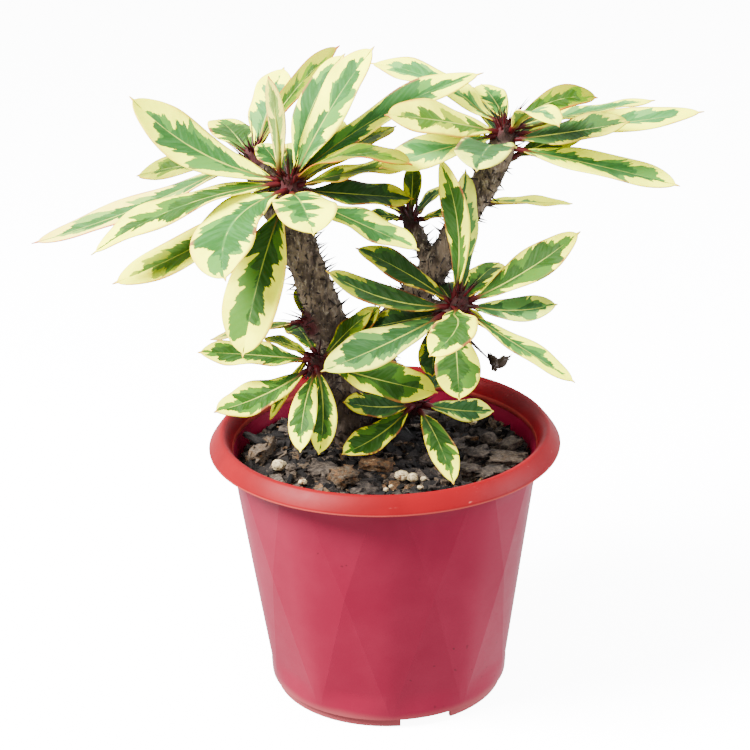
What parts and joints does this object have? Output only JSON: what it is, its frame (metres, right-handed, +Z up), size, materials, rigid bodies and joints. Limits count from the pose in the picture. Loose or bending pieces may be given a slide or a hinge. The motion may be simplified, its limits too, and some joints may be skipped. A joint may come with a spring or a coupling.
{
  "type": "potted euphorbia plant",
  "caption": "Variegated crown-of-thorns euphorbia with thorny branching stems and rosettes of cream-edged leaves, growing in bark mix in a round tapered nursery pot.",
  "frame": {"origin": "bottom centre of the whole plant's bounding box, on the surface that the pot stands on", "axes": "+X to the plant's right seen from the front, +Y to the back, +Z up along the pot's axis"},
  "size_m": [0.3666, 0.2, 0.3784],
  "materials": {
    "pot_plastic": "satin moulded red plastic",
    "potting_mix": "rough grey-brown bark chips",
    "bark": "rough grey-brown thorny bark",
    "leaf": "satin green leaf with cream margins"
  },
  "bodies": {
    "root": {"pot": "pot_plastic", "potting_mix": "potting_mix", "left_stem": "bark", "right_stem": "bark", "left_leaf_1": "leaf", "left_leaf_2": "leaf", "left_leaf_3": "leaf", "left_leaf_4": "leaf", "left_leaf_5": "leaf", "left_leaf_6": "leaf", "left_leaf_7": "leaf", "left_leaf_8": "leaf", "left_leaf_9": "leaf", "left_leaf_10": "leaf", "left_leaf_11": "leaf", "left_leaf_12": "leaf", "left_leaf_13": "leaf", "left_leaf_14": "leaf", "left_leaf_15": "leaf", "left_leaf_16": "leaf", "back_left_leaf_1": "leaf", "back_left_leaf_2": "leaf", "back_left_leaf_3": "leaf", "back_left_leaf_4": "leaf", "right_leaf_1": "leaf", "right_leaf_2": "leaf", "right_leaf_3": "leaf", "right_leaf_4": "leaf", "right_leaf_5": "leaf", "right_leaf_6": "leaf", "right_leaf_7": "leaf", "right_leaf_8": "leaf", "right_leaf_9": "leaf", "right_leaf_10": "leaf", "right_leaf_11": "leaf", "right_stem_leaf_1": "leaf", "middle_leaf_1": "leaf", "middle_leaf_2": "leaf", "middle_leaf_3": "leaf", "middle_leaf_4": "leaf", "middle_leaf_5": "leaf", "middle_leaf_6": "leaf", "middle_leaf_7": "leaf", "middle_leaf_8": "leaf", "middle_leaf_9": "leaf", "middle_leaf_10": "leaf", "middle_leaf_11": "leaf", "middle_leaf_12": "leaf", "low_left_leaf_1": "leaf", "low_left_leaf_2": "leaf", "low_left_leaf_3": "leaf", "low_left_leaf_4": "leaf", "low_left_leaf_5": "leaf", "low_left_leaf_6": "leaf", "low_left_leaf_7": "leaf", "low_right_leaf_1": "leaf", "low_right_leaf_2": "leaf", "low_right_leaf_3": "leaf", "low_right_leaf_4": "leaf", "side_leaf_1": "leaf"}
  },
  "joints": []
}
